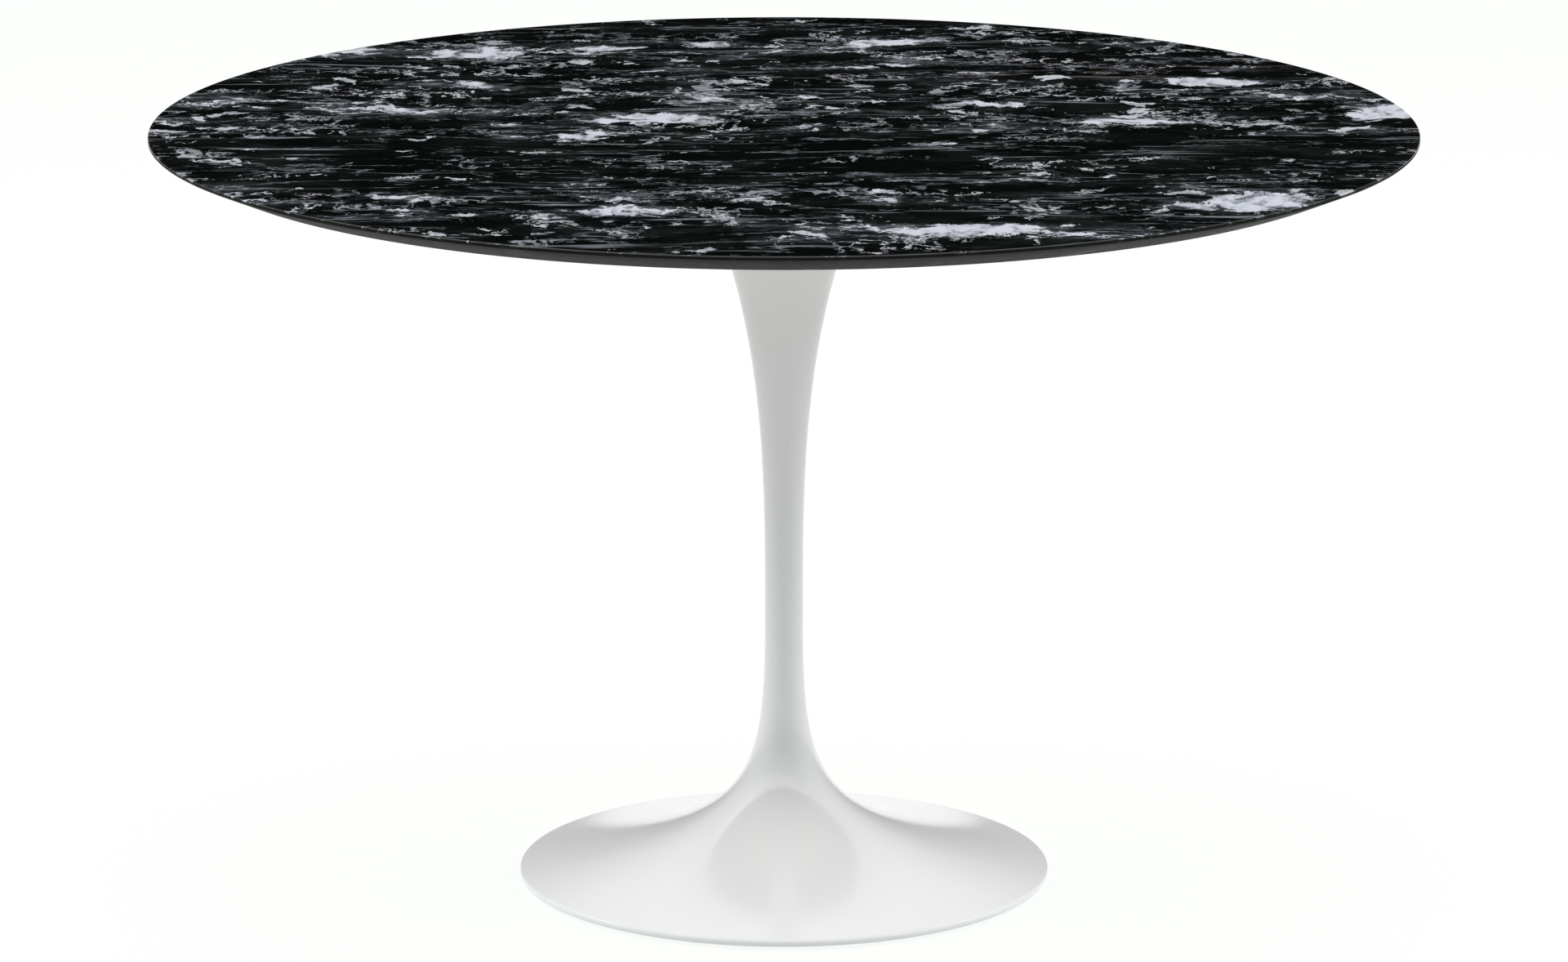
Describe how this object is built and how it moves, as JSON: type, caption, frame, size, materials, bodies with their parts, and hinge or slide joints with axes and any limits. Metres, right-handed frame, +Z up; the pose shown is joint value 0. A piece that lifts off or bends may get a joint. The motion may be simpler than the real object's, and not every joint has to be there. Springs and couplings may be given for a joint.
{
  "type": "round pedestal table",
  "caption": "Round dining table: thin undercut black marble top on a slim white trumpet-shaped cast pedestal with a wide flat foot and screw glides.",
  "frame": {"origin": "on the floor, on the pedestal's axis", "axes": "+Z up along the pedestal's axis, +X to the right and +Y to the back as the table is seen from the front"},
  "size_m": [1.1998, 1.2, 0.735],
  "materials": {
    "black_marble": "polished",
    "plywood": "sealed",
    "brass": "machined",
    "cast_aluminium": "sand-cast, machined faces",
    "zinc_steel": "zinc plated",
    "gasket_rubber": "matt",
    "white_lacquer": "high-gloss white lacquer on cast aluminium",
    "nylon": "moulded"
  },
  "bodies": {
    "table": {"marble_top": "black_marble", "backing_board": "plywood", "threaded_inserts": "brass", "mounting_plate": "cast_aluminium", "plate_washers": "zinc_steel", "plate_screws": "zinc_steel", "head_gasket": "gasket_rubber", "pedestal": "white_lacquer", "tie_rod": "zinc_steel", "rod_lock_nut": "zinc_steel", "clamp_washer": "zinc_steel", "spring_washer": "zinc_steel", "rod_clamp_nut": "zinc_steel", "glide_inserts": "brass"},
    "glide_1_foot": {"glide_foot_1": "nylon"},
    "glide_1_stud": {"glide_stud_1": "zinc_steel"},
    "glide_2_foot": {"glide_foot_2": "nylon"},
    "glide_2_stud": {"glide_stud_2": "zinc_steel"},
    "glide_3_foot": {"glide_foot_3": "nylon"},
    "glide_3_stud": {"glide_stud_3": "zinc_steel"},
    "glide_4_foot": {"glide_foot_4": "nylon"},
    "glide_4_stud": {"glide_stud_4": "zinc_steel"},
    "glide_5_foot": {"glide_foot_5": "nylon"},
    "glide_5_stud": {"glide_stud_5": "zinc_steel"},
    "glide_6_foot": {"glide_foot_6": "nylon"},
    "glide_6_stud": {"glide_stud_6": "zinc_steel"}
  },
  "joints": [
    {"name": "glide_1_travel", "type": "slide", "parent": "table", "child": "glide_1_foot", "axis": [0, 0, -1], "range_m": [0, 0.006]},
    {"name": "glide_1_turn", "type": "hinge", "parent": "glide_1_foot", "child": "glide_1_stud", "pos_m": [0.18, 0, 0], "axis": [0, 0, -1], "range_deg": [0, 1728]},
    {"name": "glide_2_travel", "type": "slide", "parent": "table", "child": "glide_2_foot", "axis": [0, 0, -1], "range_m": [0, 0.006]},
    {"name": "glide_2_turn", "type": "hinge", "parent": "glide_2_foot", "child": "glide_2_stud", "pos_m": [0.09, 0.15588, 0], "axis": [0, 0, -1], "range_deg": [0, 1728]},
    {"name": "glide_3_travel", "type": "slide", "parent": "table", "child": "glide_3_foot", "axis": [0, 0, -1], "range_m": [0, 0.006]},
    {"name": "glide_3_turn", "type": "hinge", "parent": "glide_3_foot", "child": "glide_3_stud", "pos_m": [-0.09, 0.15588, 0], "axis": [0, 0, -1], "range_deg": [0, 1728]},
    {"name": "glide_4_travel", "type": "slide", "parent": "table", "child": "glide_4_foot", "axis": [0, 0, -1], "range_m": [0, 0.006]},
    {"name": "glide_4_turn", "type": "hinge", "parent": "glide_4_foot", "child": "glide_4_stud", "pos_m": [-0.18, 0, 0], "axis": [0, 0, -1], "range_deg": [0, 1728]},
    {"name": "glide_5_travel", "type": "slide", "parent": "table", "child": "glide_5_foot", "axis": [0, 0, -1], "range_m": [0, 0.006]},
    {"name": "glide_5_turn", "type": "hinge", "parent": "glide_5_foot", "child": "glide_5_stud", "pos_m": [-0.09, -0.15588, 0], "axis": [0, 0, -1], "range_deg": [0, 1728]},
    {"name": "glide_6_travel", "type": "slide", "parent": "table", "child": "glide_6_foot", "axis": [0, 0, -1], "range_m": [0, 0.006]},
    {"name": "glide_6_turn", "type": "hinge", "parent": "glide_6_foot", "child": "glide_6_stud", "pos_m": [0.09, -0.15588, 0], "axis": [0, 0, -1], "range_deg": [0, 1728]}
  ],
  "couplings": [
    {"joint": "glide_1_travel", "follows": "glide_1_turn", "m_per_rad": 0.00019894},
    {"joint": "glide_2_travel", "follows": "glide_2_turn", "m_per_rad": 0.00019894},
    {"joint": "glide_3_travel", "follows": "glide_3_turn", "m_per_rad": 0.00019894},
    {"joint": "glide_4_travel", "follows": "glide_4_turn", "m_per_rad": 0.00019894},
    {"joint": "glide_5_travel", "follows": "glide_5_turn", "m_per_rad": 0.00019894},
    {"joint": "glide_6_travel", "follows": "glide_6_turn", "m_per_rad": 0.00019894}
  ]
}
